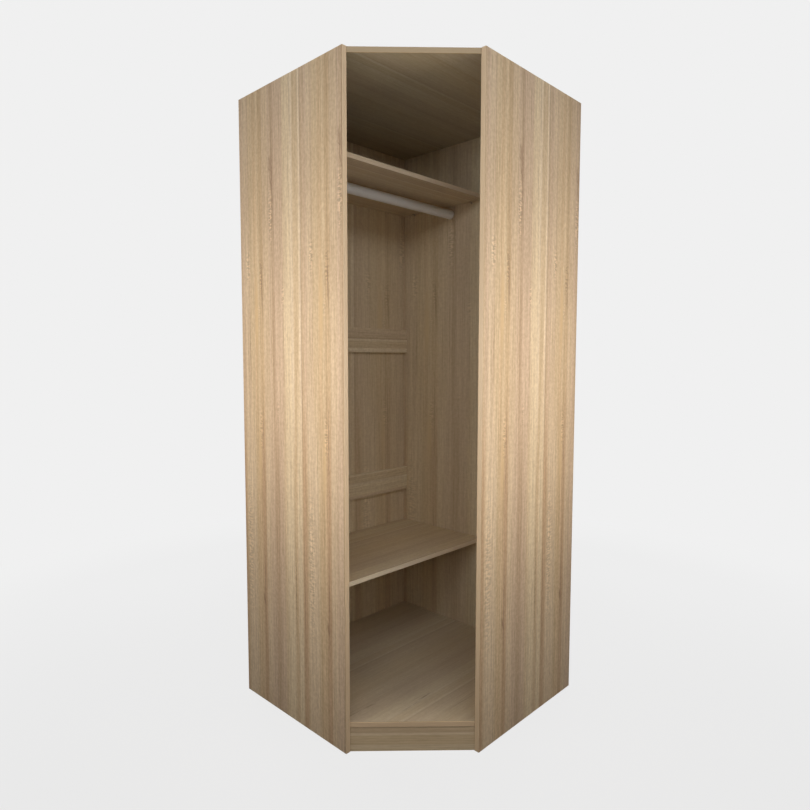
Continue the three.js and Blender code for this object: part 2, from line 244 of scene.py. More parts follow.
def paper_place(tree: bpy.types.NodeTree, cut: Cut) -> Socket:
    """Adds a vector of metres of paper: across the fibres, and along them.

    Args:
        tree: Tree of the material.
        cut: How the piece is cut from the paper.

    Returns:
        The vector, with 0 as its third part.
    """
    point = add_node(tree, "ShaderNodeTexCoord").outputs["Object"]
    measured = []
    for direction, start, scale in (
        (cut.grain.across, cut.across, 1 / cut.drawn_wider),
        (cut.grain.along, cut.along, 1.0),
    ):
        run = add_node(tree, "ShaderNodeVectorMath", {0: point, 1: direction},
                       operation="DOT_PRODUCT").outputs["Value"]
        measured.append(add_node(tree, "ShaderNodeMath", {0: run, 1: scale, 2: start * scale},
                                 operation="MULTIPLY_ADD").outputs[0])
    return add_node(tree, "ShaderNodeCombineXYZ", {"X": measured[0], "Y": measured[1]}).outputs[0]


@dataclass(frozen=True)
class Noise:
    """Flat noise, stretched along the fibres: the size of its pattern across them and along them."""

    across: float
    along: float
    detail: float = 2.0

    def value(self, tree: bpy.types.NodeTree, place: Socket) -> Socket:
        """Adds the noise to a material.

        Args:
            tree: Tree of the material.
            place: Vector of metres across and along the fibres.

        Returns:
            Its value, about 0.5 on average.
        """
        scale = (1 / self.across, 1 / self.along, 0.0)
        scaled = add_node(tree, "ShaderNodeVectorMath", {0: place, 1: scale}, operation="MULTIPLY")
        inputs = {"Vector": scaled.outputs[0], "Scale": 1.0, "Detail": self.detail, "Roughness": 0.55}
        return add_node(tree, "ShaderNodeTexNoise", inputs, noise_dimensions="2D").outputs["Fac"]


@dataclass(frozen=True, kw_only=True)
class Layer(Noise):
    """Noise that shades the print: the factors on its colour at a low and at a high value of the noise."""

    at_low: float
    at_high: float
    low: float = 0.35
    high: float = 0.65

    def shade(
        self, tree: bpy.types.NodeTree, colour: Socket | Triple, value: Socket, strength: float = 1.0,
    ) -> Socket:
        """Makes a colour darker and browner, or lighter and paler.

        Args:
            tree: Tree of the material.
            colour: Colour to shade.
            value: The layer's noise.
            strength: Share of the full shading.

        Returns:
            The shaded colour.
        """
        darkest, lightest = [tuple(1 - strength * (1 - factor) * share for share in BROWNING)
                             for factor in (self.at_low, self.at_high)]
        # Inputs 6 to 10 and output 1 of this node are those that work on three numbers at once
        level = add_node(tree, "ShaderNodeMapRange",
                         {6: value, 7: (self.low,) * 3, 8: (self.high,) * 3, 9: darkest, 10: lightest},
                         data_type="FLOAT_VECTOR").outputs[1]
        return add_node(tree, "ShaderNodeVectorMath", {0: colour, 1: level}, operation="MULTIPLY").outputs[0]


@dataclass(frozen=True)
class OakPrint:
    """Light oak decor paper: strips of straw, honey and rose tones, with fibres, rays, knots and cracks.

    The paper repeats every 336 mm across the fibres. The places of its strips are shares of that width, and
    the places of its marks are metres from the left edge of a repeat and from the lower end of the board.
    Sway bends the strips, and fray roughens the outlines of the marks, by as much to either side.
    """

    cut: Cut
    # Tint of painted shade, multiplied into the whole print; white leaves the board plain
    painted_shade_tint: str = "#FFFFFF"
    repeat: float = 336 * MM
    lower_below: float = 0.75
    upper_above: float = 1.15
    upper_shares: tuple[tuple[float, Tone], ...] = (
        (0.000, Tone.GREY), (0.045, Tone.ROSE), (0.070, Tone.PALE_ROSE), (0.095, Tone.PALE_ROSE),
        (0.130, Tone.GREY), (0.155, Tone.OLIVE), (0.205, Tone.OLIVE), (0.225, Tone.HONEY),
        (0.255, Tone.HONEY), (0.275, Tone.TAN), (0.300, Tone.TAN), (0.320, Tone.BARK),
        (0.365, Tone.BARK), (0.385, Tone.STRAW), (0.460, Tone.STRAW), (0.485, Tone.ROSE),
        (0.515, Tone.GREY), (0.530, Tone.SHADOW), (0.555, Tone.SHADOW), (0.575, Tone.ROSE),
        (0.695, Tone.ROSE), (0.706, Tone.STRAW), (0.722, Tone.PALE_STRAW), (0.815, Tone.PALE_STRAW),
        (0.828, Tone.BRIGHT), (0.850, Tone.BRIGHT), (0.862, Tone.TAN), (0.934, Tone.TAN),
        (0.944, Tone.CREAM), (0.964, Tone.CREAM), (0.969, Tone.DUSK), (0.990, Tone.GREY),
    )
    lower_shares: tuple[tuple[float, Tone], ...] = (
        (0.000, Tone.BROWN), (0.018, Tone.BROWN), (0.045, Tone.TAN), (0.065, Tone.STRAW_ROSE),
        (0.180, Tone.STRAW_ROSE), (0.210, Tone.OLIVE), (0.235, Tone.HONEY), (0.300, Tone.HONEY),
        (0.325, Tone.BROWN), (0.366, Tone.BROWN), (0.380, Tone.STRAW), (0.425, Tone.PALE_ROSE),
        (0.470, Tone.ROSE), (0.520, Tone.ROSE), (0.550, Tone.SHADOW), (0.585, Tone.SHADOW),
        (0.615, Tone.ROSE), (0.665, Tone.ROSE), (0.705, Tone.TAN), (0.735, Tone.PALE_STRAW),
        (0.820, Tone.PALE_STRAW), (0.840, Tone.TAN), (0.880, Tone.HONEY), (0.895, Tone.PALE_STRAW),
        (0.940, Tone.PALE_STRAW), (0.962, Tone.TAN), (0.975, Tone.BROWN),
    )
    dark_marks: tuple[Mark, ...] = (
        Mark(117 * MM, 1.385, 5 * MM, 140 * MM, 2.0, 0.68),
        Mark(114 * MM, 1.580, 2 * MM, 160 * MM, 0.0, 0.45),
        Mark(183 * MM, 1.700, 5 * MM, 210 * MM, 0.6, 0.70),
        Mark(173 * MM, 1.752, 14 * MM, 48 * MM, 5.0, 0.42),
        Mark(169 * MM, 1.770, 4 * MM, 30 * MM, 10.0, 0.60),
        Mark(174 * MM, 1.755, 3 * MM, 34 * MM, -6.0, 0.60),
        Mark(171 * MM, 1.742, 4 * MM, 15 * MM, 50.0, 0.70),
        Mark(175 * MM, 1.705, 4 * MM, 42 * MM, 13.0, 0.70),
        Mark(46 * MM, 1.200, 2 * MM, 210 * MM, 0.5, 0.45),
        Mark(242 * MM, 1.450, 2 * MM, 160 * MM, 0.0, 0.30),
        Mark(302 * MM, 1.700, 2 * MM, 260 * MM, 0.0, 0.25),
        Mark(115 * MM, 0.880, 3 * MM, 270 * MM, 0.3, 0.60),
        Mark(113 * MM, 0.430, 4 * MM, 260 * MM, 0.3, 0.60),
        Mark(108 * MM, 0.352, 6 * MM, 34 * MM, 12.0, 0.80),
        Mark(286 * MM, 0.420, 3 * MM, 260 * MM, 0.0, 0.80),
        Mark(331 * MM, 0.400, 4 * MM, 400 * MM, 0.0, 0.45),
    )
    ray_patches: tuple[Mark, ...] = (
        Mark(113 * MM, 1.420, 12 * MM, 80 * MM, 0.0, 1.0),
        Mark(172 * MM, 1.600, 16 * MM, 130 * MM, 0.0, 1.0),
        Mark(40 * MM, 1.455, 16 * MM, 75 * MM, 0.0, 0.9),
        Mark(234 * MM, 1.345, 11 * MM, 60 * MM, 0.0, 0.8),
        Mark(100 * MM, 1.305, 11 * MM, 60 * MM, 0.0, 0.5),
        Mark(200 * MM, 0.985, 10 * MM, 65 * MM, 0.0, 0.5),
        Mark(104 * MM, 0.925, 11 * MM, 95 * MM, 0.0, 0.9),
        Mark(30 * MM, 0.520, 26 * MM, 360 * MM, 0.0, 0.6),
    )
    honey_patches: tuple[Mark, ...] = (
        Mark(86 * MM, 1.300, 16 * MM, 190 * MM, 0.0, 0.8),
        Mark(96 * MM, 0.830, 14 * MM, 170 * MM, 0.0, 0.7),
    )
    mark_core: float = 0.1
    sway: Noise = Noise(150 * MM, 800 * MM, 1.0)
    swayed_by: float = 2 * MM
    fray: Noise = Noise(4 * MM, 14 * MM)
    frayed_by: float = 3 * MM
    streaks: Layer = Layer(5.5 * MM, 450 * MM, at_low=0.91, at_high=1.09)
    veins: Layer = Layer(5 * MM, 260 * MM, 1.0, at_low=1.0, at_high=0.86, low=0.60, high=0.74)
    # Printed fibres and pressed pores are about 0.3 mm wide, too fine to show: these are drawn 3 mm wide
    fibres: Layer = Layer(3 * MM, 40 * MM, 3.0, at_low=0.92, at_high=1.08)
    # Flecks of the wood are about 1 mm wide, so this mottle is drawn coarser too
    mottle: Layer = Layer(10 * MM, 11 * MM, 1.0, at_low=0.94, at_high=1.06)
    # Rays are silky bars across the fibres, 1 to 3 mm high on oak, and drawn 7 mm high to show
    rays: Layer = Layer(17 * MM, 7 * MM, 1.0, at_low=0.76, at_high=1.26, low=0.40, high=0.60)

    def strips(self, tree: bpy.types.NodeTree, share: Socket, along: Socket) -> Socket:
        """Adds the strips, which change their tones gently from the lower to the upper part of a board.

        Args:
            tree: Tree of the material.
            share: Place across one repeat of the paper, from 0 to 1.
            along: Metres along the fibres.

        Returns:
            The colour.
        """
        lower, upper = [
            add_node(tree, "ShaderNodeValToRGB", {"Fac": share},
                     stops=[(place, tone.colour) for place, tone in shares]).outputs["Color"]
            for shares in (self.lower_shares, self.upper_shares)
        ]
        rise = add_node(tree, "ShaderNodeMapRange",
                        {"Value": along, "From Min": self.lower_below, "From Max": self.upper_above},
                        interpolation_type="SMOOTHSTEP").outputs[0]
        return add_node(tree, "ShaderNodeMix", {SHARE: rise, COLOUR_A: lower, COLOUR_B: upper},
                        data_type="RGBA").outputs[MIXED]

    def mask(self, tree: bpy.types.NodeTree, place: Socket, marks: Iterable[Mark]) -> Socket:
        """Adds a group of marks.

        Args:
            tree: Tree of the material.
            place: Metres across one repeat of the paper, and along the fibres.
            marks: The marks.

        Returns:
            A mask from 0, plain, to 1, strongest.
        """
        total: Socket | float = 0.0
        for mark in marks:
            fitted = {"Vector": place, "Location": (mark.across, mark.along, 0.0),
                      "Rotation": (0.0, 0.0, math.radians(mark.lean_deg)),
                      "Scale": (mark.half_width, mark.half_length, 1.0)}
            local = add_node(tree, "ShaderNodeMapping", fitted, vector_type="TEXTURE").outputs[0]
            reach = add_node(tree, "ShaderNodeVectorMath", {0: local}, operation="LENGTH").outputs["Value"]
            fading = {"Value": reach, "From Min": self.mark_core, "From Max": 1.0,
                      "To Min": mark.strength, "To Max": 0.0}
            soft = add_node(tree, "ShaderNodeMapRange", fading, interpolation_type="SMOOTHSTEP").outputs[0]
            total = add_node(tree, "ShaderNodeMath", {0: total, 1: soft}, operation="MAXIMUM").outputs[0]
        return total

    def frayed(self, tree: bpy.types.NodeTree, place: Socket, across: Socket, along: Socket) -> Socket:
        """Frays the outlines of marks by moving the paper a little to either side.

        Args:
            tree: Tree of the material.
            place: Metres across and along the fibres, for the noise.
            across: Metres across the fibres, which marks are placed by.
            along: Metres along them.

        Returns:
            The vector of both, frayed.
        """
        moved = add_node(tree, "ShaderNodeMath",
                         {0: self.fray.value(tree, place), 1: 2 * self.frayed_by, 2: across},
                         operation="MULTIPLY_ADD").outputs[0]
        centred = add_node(tree, "ShaderNodeMath", {0: moved, 1: -self.frayed_by}, operation="ADD").outputs[0]
        return add_node(tree, "ShaderNodeCombineXYZ", {"X": centred, "Y": along}).outputs[0]

    def with_marks(self, tree: bpy.types.NodeTree, colour: Socket, share: Socket, place: Socket) -> Socket:
        """Adds the honey patches, the pale rays, and the knots and cracks.

        Args:
            tree: Tree of the material.
            colour: Colour of the strips.
            share: Place across one repeat of the paper, from 0 to 1.
            place: Metres across and along the fibres.

        Returns:
            The marked colour.
        """
        along = add_node(tree, "ShaderNodeSeparateXYZ", {0: place}).outputs["Y"]
        within = add_node(tree, "ShaderNodeMath", {0: share, 1: self.repeat}, operation="MULTIPLY").outputs[0]
        paper = self.frayed(tree, place, within, along)
        honey = self.mask(tree, paper, self.honey_patches)
        warmed = add_node(tree, "ShaderNodeMix",
                          {SHARE: honey, COLOUR_A: colour, COLOUR_B: Tone.AMBER.colour},
                          data_type="RGBA").outputs[MIXED]
        bars = add_node(tree, "ShaderNodeMapRange",
                        {"Value": self.rays.value(tree, place), "From Min": self.rays.low,
                         "From Max": self.rays.high, "To Min": self.rays.at_low,
                         "To Max": self.rays.at_high}).outputs[0]
        silky = self.mask(tree, paper, self.ray_patches)
        lift = add_node(tree, "ShaderNodeMix", {SHARE: silky, NUMBER_A: 1.0, NUMBER_B: bars}).outputs[0]
        rayed = add_node(tree, "ShaderNodeVectorMath", {0: warmed, "Scale": lift},
                         operation="SCALE").outputs[0]
        dark = self.mask(tree, paper, self.dark_marks)
        return add_node(tree, "ShaderNodeMix", {SHARE: dark, COLOUR_A: rayed, COLOUR_B: Tone.CRACK.colour},
                        data_type="RGBA").outputs[MIXED]

    def draw(self, tree: bpy.types.NodeTree) -> tuple[Socket, Socket]:
        """Adds the whole print to a material.

        Args:
            tree: Tree of the material.

        Returns:
            The colour, and the height of the pressed pores from 0 to 1.
        """
        place = paper_place(tree, self.cut)
        flat = add_node(tree, "ShaderNodeSeparateXYZ", {0: place}).outputs
        swayed = add_node(tree, "ShaderNodeMath",
                          {0: self.sway.value(tree, place), 1: 2 * self.swayed_by, 2: flat["X"]},
                          operation="MULTIPLY_ADD").outputs[0]
        turns = add_node(tree, "ShaderNodeMath",
                         {0: swayed, 1: 1 / self.repeat, 2: -self.swayed_by / self.repeat},
                         operation="MULTIPLY_ADD").outputs[0]
        share = add_node(tree, "ShaderNodeMath", {0: turns}, operation="FRACT").outputs[0]
        colour = self.strips(tree, share, flat["Y"])
        for layer in (self.streaks, self.veins):
            colour = layer.shade(tree, colour, layer.value(tree, place))
        pores = self.fibres.value(tree, place)
        colour = self.fibres.shade(tree, colour, pores)
        colour = self.mottle.shade(tree, colour, self.mottle.value(tree, place), self.cut.mottled)
        if self.cut.marked:
            colour = self.with_marks(tree, colour, share, place)
        colour = add_node(tree, "ShaderNodeMix",
                          {SHARE: self.cut.contrast, COLOUR_A: Tone.STRAW.colour, COLOUR_B: colour},
                          data_type="RGBA").outputs[MIXED]
        if self.cut.cracks:
            cracked = self.mask(tree, self.frayed(tree, place, flat["X"], flat["Y"]), self.cut.cracks)
            colour = add_node(tree, "ShaderNodeMix",
                              {SHARE: cracked, COLOUR_A: colour, COLOUR_B: Tone.CRACK.colour},
                              data_type="RGBA").outputs[MIXED]
        # Painted shade: the print multiplied by the board's tint
        print_with_painted_shade = add_node(tree, "ShaderNodeMix", {SHARE: 1.0, COLOUR_A: colour, COLOUR_B: linear(self.painted_shade_tint)},
                          data_type="RGBA", blend_type="MULTIPLY").outputs[MIXED]
        return print_with_painted_shade, pores


@dataclass(frozen=True)
class BandPrint:
    """Plain oak print of the edge bands: one tone with faint streaks, and fibres drawn coarser than real.
    Some bands' tones are darkened as painted shade, and one is lightened as painted light.
    """

    cut: Cut
    tone: str = "#D9BF9C"
    streaks: Layer = Layer(5 * MM, 300 * MM, at_low=0.96, at_high=1.04, low=0.25, high=0.75)
    fibres: Layer = Layer(1.8 * MM, 60 * MM, 3.0, at_low=0.95, at_high=1.05, low=0.25, high=0.75)

    def draw(self, tree: bpy.types.NodeTree) -> tuple[Socket, Socket]:
        """Adds the print to a material.

        Args:
            tree: Tree of the material.

        Returns:
            The colour, and the height of the pores from 0 to 1.
        """
        place = paper_place(tree, self.cut)
        colour = self.streaks.shade(tree, linear(self.tone)[:3], self.streaks.value(tree, place))
        pores = self.fibres.value(tree, place)
        return self.fibres.shade(tree, colour, pores), pores


def facing_out(tree: bpy.types.NodeTree, cut: Cut) -> Socket:
    """Adds how squarely a surface faces out of its board.

    Args:
        tree: Tree of the material.
        cut: How the board is cut from the paper.

    Returns:
        1 on both faces of the board, and 0 on its edges.
    """
    normal = add_node(tree, "ShaderNodeTexCoord").outputs["Normal"]
    squarely = add_node(tree, "ShaderNodeVectorMath", {0: normal, 1: cut.grain.out}, operation="DOT_PRODUCT")
    return add_node(tree, "ShaderNodeMath", {0: squarely.outputs["Value"]}, operation="ABSOLUTE").outputs[0]


@dataclass(frozen=True)
class MelamineBoard:
    """Chipboard faced with printed paper under clear melamine resin, pressed with shallow pores.

    The hard resin gives the eye a soft, broad sheen that breaks up along the fibres. The sawn edges and the
    bores show the raw core, speckled with chips and without sheen. Upper edges carry the same print.
    """

    name: str
    paper: OakPrint
    core_light: str = "#CDAE7F"
    core_mid: str = "#B08D5C"
    core_dark: str = "#836440"
    core_roughness: float = 0.85
    core_mid_at: float = 0.3
    chip: float = 2.6 * MM
    ridge_roughness: float = 0.46
    pore_roughness: float = 0.58
    pore: float = 0.06 * MM
    bump: float = 0.5

    def core(self, tree: bpy.types.NodeTree) -> Socket:
        """Adds the pressed chips of the core.

        Args:
            tree: Tree of the material.

        Returns:
            Their colour.
        """
        point = add_node(tree, "ShaderNodeTexCoord").outputs["Object"]
        chips = add_node(tree, "ShaderNodeTexVoronoi", {"Vector": point, "Scale": 1 / self.chip})
        tone = add_node(tree, "ShaderNodeSeparateColor", {0: chips.outputs["Color"]}).outputs[0]
        stops = [(0.0, linear(self.core_dark)), (self.core_mid_at, linear(self.core_mid)),
                 (1.0, linear(self.core_light))]
        return add_node(tree, "ShaderNodeValToRGB", {"Fac": tone}, stops=stops).outputs["Color"]

    def faced(self, tree: bpy.types.NodeTree) -> Socket:
        """Marks the printed surfaces: both faces of the board and its upper edge.

        Args:
            tree: Tree of the material.

        Returns:
            1 on the print and 0 on the core.
        """
        normal = add_node(tree, "ShaderNodeTexCoord").outputs["Normal"]
        upward = add_node(tree, "ShaderNodeSeparateXYZ", {0: normal}).outputs["Z"]
        either = add_node(tree, "ShaderNodeMath", {0: facing_out(tree, self.paper.cut), 1: upward},
                          operation="MAXIMUM").outputs[0]
        return add_node(tree, "ShaderNodeMath", {0: either, 1: FACING}, operation="GREATER_THAN").outputs[0]

    def material(self) -> bpy.types.Material:
        """Builds the finish.

        Returns:
            The material.
        """
        material, tree, shader = new_material(self.name)
        colour, pores = self.paper.draw(tree)
        faced = self.faced(tree)
        mixed = add_node(tree, "ShaderNodeMix", {SHARE: faced, COLOUR_A: self.core(tree), COLOUR_B: colour},
                         data_type="RGBA").outputs[MIXED]
        gloss = add_node(tree, "ShaderNodeMapRange",
                         {"Value": pores, "To Min": self.pore_roughness,
                          "To Max": self.ridge_roughness}).outputs[0]
        rough = add_node(tree, "ShaderNodeMix",
                         {SHARE: faced, NUMBER_A: self.core_roughness, NUMBER_B: gloss}).outputs[0]
        bump = add_node(tree, "ShaderNodeBump",
                        {"Height": pores, "Distance": self.pore, "Strength": self.bump})
        set_inputs(tree, shader, {"Base Color": mixed, "Roughness": rough, "Normal": bump.outputs[0]})
        return material


@dataclass(frozen=True)
class AbsEdging:
    """ABS edge band, 2 mm thick and through-coloured, printed with plain oak fibres under a satin lacquer.

    The smooth lacquer catches the light in a narrow line along the rounded edges. The flanks carry no print
    and draw a thin brown line beside the board's face. Where a surface turns from flank to front, the print
    sets in between two shares of facing out.
    """

    name: str
    paper: BandPrint
    flank: str = "#A98C66"
    flank_below: float = 0.3
    print_above: float = 0.6
    roughness: float = 0.42
    pore: float = 0.03 * MM
    bump: float = 0.4

    def material(self) -> bpy.types.Material:
        """Builds the finish.

        Returns:
            The material.
        """
        material, tree, shader = new_material(self.name)
        colour, pores = self.paper.draw(tree)
        bare = add_node(tree, "ShaderNodeMapRange",
                        {"Value": facing_out(tree, self.paper.cut), "From Min": self.flank_below,
                         "From Max": self.print_above, "To Min": 1.0, "To Max": 0.0}).outputs[0]
        shown = add_node(tree, "ShaderNodeMix", {SHARE: bare, COLOUR_A: colour, COLOUR_B: linear(self.flank)},
                         data_type="RGBA").outputs[MIXED]
        bump = add_node(tree, "ShaderNodeBump",
                        {"Height": pores, "Distance": self.pore, "Strength": self.bump})
        set_inputs(tree, shader, {"Base Color": shown, "Normal": bump.outputs[0],
                                  "Roughness": self.roughness})
        return material


@dataclass(frozen=True)
class PrintedHardboard:
    """Thin hardboard: oak print on the face that looks into the wardrobe, bare brown felted fibre behind.

    The print has a thin lacquer with a duller sheen than the boards. The felted back takes light like card.
    """

    name: str
    paper: OakPrint
    fibre_light: str = "#A17C54"
    fibre_dark: str = "#85623E"
    # The fibre bundles of hardboard are about 1 mm, too fine to show: their clouds are drawn 7 mm wide
    felt: float = 7 * MM
    felt_range: tuple[float, float] = (0.35, 0.65)
    felt_roughness: float = 0.8
    print_roughness: float = 0.55
    relief: float = 0.05 * MM
    bump: float = 0.5

    def material(self) -> bpy.types.Material:
        """Builds the finish.

        Returns:
            The material.
        """
        material, tree, shader = new_material(self.name)
        colour, pores = self.paper.draw(tree)
        coordinates = add_node(tree, "ShaderNodeTexCoord").outputs
        clouds = add_node(tree, "ShaderNodeTexNoise",
                          {"Vector": coordinates["Object"], "Scale": 1 / self.felt, "Detail": 6.0,
                           "Roughness": 0.7}).outputs["Fac"]
        stops = list(zip(self.felt_range, (linear(self.fibre_dark), linear(self.fibre_light))))
        felted = add_node(tree, "ShaderNodeValToRGB", {"Fac": clouds}, stops=stops).outputs["Color"]
        inward = add_node(tree, "ShaderNodeSeparateXYZ", {0: coordinates["Normal"]}).outputs["X"]
        printed = add_node(tree, "ShaderNodeMath", {0: inward, 1: FACING},
                           operation="GREATER_THAN").outputs[0]
        mixed = add_node(tree, "ShaderNodeMix", {SHARE: printed, COLOUR_A: felted, COLOUR_B: colour},
                         data_type="RGBA").outputs[MIXED]
        rough, height = [
            add_node(tree, "ShaderNodeMix", {SHARE: printed, NUMBER_A: behind, NUMBER_B: inside}).outputs[0]
            for behind, inside in ((self.felt_roughness, self.print_roughness), (clouds, pores))
        ]
        bump = add_node(tree, "ShaderNodeBump",
                        {"Height": height, "Distance": self.relief, "Strength": self.bump})
        set_inputs(tree, shader, {"Base Color": mixed, "Roughness": rough, "Normal": bump.outputs[0]})
        return material


@dataclass(frozen=True)
class PlainFinish:
    """Finish of one colour with fine grit, for moulded plastic, lacquered or plated steel, zinc and beech.

    The grit of such surfaces is about 0.1 mm, too fine to show even in a near view, so it is drawn coarser.
    """

    name: str
    colour: str
    shade: str
    roughness: float
    metallic: float = 0.0
    uneven: float = 0.06
    grit: float = 0.8 * MM
    grit_range: tuple[float, float] = (0.3, 0.7)
    stretch: Triple = (1.0, 1.0, 1.0)
    relief: float = 0.01 * MM
    bump: float = 0.4

    def material(self) -> bpy.types.Material:
        """Builds the finish.

        Returns:
            The material.
        """
        material, tree, shader = new_material(self.name)
        point = add_node(tree, "ShaderNodeTexCoord").outputs["Object"]
        scaled = add_node(tree, "ShaderNodeVectorMath", {0: point, 1: self.stretch}, operation="MULTIPLY")
        grit = add_node(tree, "ShaderNodeTexNoise",
                        {"Vector": scaled.outputs[0], "Scale": 1 / self.grit, "Detail": 4.0}).outputs["Fac"]
        stops = list(zip(self.grit_range, (linear(self.shade), linear(self.colour))))
        colour = add_node(tree, "ShaderNodeValToRGB", {"Fac": grit}, stops=stops).outputs["Color"]
        rough = add_node(tree, "ShaderNodeMapRange",
                         {"Value": grit, "To Min": self.roughness - self.uneven,
                          "To Max": self.roughness + self.uneven}).outputs[0]
        bump = add_node(tree, "ShaderNodeBump",
                        {"Height": grit, "Distance": self.relief, "Strength": self.bump})
        set_inputs(tree, shader, {"Base Color": colour, "Roughness": rough, "Normal": bump.outputs[0],
                                  "Metallic": self.metallic})
        return material


# Steel tube under a pale grey lacquer, which gives a soft, broad highlight along its length
GREY_LACQUER = PlainFinish("grey_lacquered_steel", "#E1E1DF", "#DADAD8", 0.40)
# Injection-moulded ABS with a spark-eroded grain, which is matt
GREY_ABS = PlainFinish("grey_moulded_abs", "#B9B1A9", "#B0A8A0", 0.55)
# Die-cast zinc, whose cast skin is a dull, slightly uneven grey
CAST_ZINC = PlainFinish("die_cast_zinc", "#A7A9AB", "#94979A", 0.48, metallic=1.0, grit=1.2 * MM,
                        relief=0.03 * MM)
# Steel with a bright zinc plating, which gives pale, clear glints
PLATED_STEEL = PlainFinish("zinc_plated_steel", "#D4D5D6", "#C6C8C9", 0.40, metallic=1.0)
# Steel with a nickel plating, whose glints are warmer and duller than those of zinc
PLATED_PIN = PlainFinish("nickel_plated_steel", "#B5A895", "#A99C8A", 0.50, metallic=1.0)
# Turned beech, reddish and matt, with fine pale flecks along the dowel
TURNED_BEECH = PlainFinish("turned_beech", "#D9B183", "#C49868", 0.68, grit=1.5 * MM,
                           stretch=(0.12, 1.0, 1.0))


def dress(nodes: Iterable[str], material: bpy.types.Material) -> None:
    """Gives CAD nodes their finish and reports each one.

    Args:
        nodes: Names of the nodes.
        material: Finish for all of them.
    """
    for node in nodes:
        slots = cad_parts[node].data.materials
        slots.clear()
        slots.append(material)
        log.info("dressed %s with %s", node, material.name)


def spin_into(
    shape: bmesh.types.BMesh,
    profile: Sequence[tuple[float, float]],
    foot: Vector,
    axis: Vector,
    steps: int,
    closed: bool = False,
) -> None:
    """Turns a profile about an axis and adds the solid to a shape.

    Args:
        shape: Shape that takes the solid.
        profile: Pairs of distance along the axis and radius.
        foot: Point on the axis that distances are measured from.
        axis: Direction of the axis.
        steps: Sides of the full turn.
        closed: True for a ring-shaped section that doesn't touch the axis.
    """
    place = Matrix.Translation(foot) @ axis.to_track_quat("Z", "Y").to_matrix().to_4x4()
    points = [shape.verts.new(place @ Vector((radius, 0.0, along))) for along, radius in profile]
    pairs = list(zip(points, points[1:]))
    if closed:
        pairs.append((points[-1], points[0]))
    edges = [shape.edges.new(pair) for pair in pairs]
    bmesh.ops.spin(shape, geom=points + edges, cent=foot, axis=axis, angle=math.tau, steps=steps,
                   use_merge=True)


def turned(
    name: str,
    profile: Sequence[tuple[float, float]],
    places: Sequence[Vector],
    axis: Vector,
    steps: int,
    closed: bool = False,
) -> bpy.types.Object:
    """Turns a profile into smooth solids, one at each place.

    Args:
        name: Name of the piece.
        profile: Pairs of distance along the axis and radius.
        places: Point on the axis of each solid.
        axis: Direction of the axes.
        steps: Sides of the full turn.
        closed: True for a ring-shaped section that doesn't touch the axis.

    Returns:
        The piece, with its place in its mesh.
    """
    shape = bmesh.new()
    for foot in places:
        spin_into(shape, profile, foot, axis, steps, closed)
    bmesh.ops.remove_doubles(shape, verts=shape.verts, dist=WELD)
    bmesh.ops.recalc_face_normals(shape, faces=shape.faces)
    return finished_piece(name, shape)


def finished_piece(name: str, shape: bmesh.types.BMesh, smooth_below: float = 40.0) -> bpy.types.Object:
    """Makes an object of a shape, smooth except at its sharp edges.

    Args:
        name: Name of the piece.
        shape: The shape, which is freed.
        smooth_below: Edges that turn less than this many degrees are shaded smooth.

    Returns:
        The object, linked to the scene and riding on the wardrobe.
    """
    for face in shape.faces:
        face.smooth = True
    for edge in shape.edges:
        edge.smooth = len(edge.link_faces) == 2 and edge.calc_face_angle(0.0) < math.radians(smooth_below)
    mesh = bpy.data.meshes.new(name)
    shape.to_mesh(mesh)
    shape.free()
    piece = bpy.data.objects.new(name, mesh)
    bpy.context.scene.collection.objects.link(piece)
    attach(piece, "root")
    log.info("made %s with %d faces", name, len(mesh.polygons))
    return piece


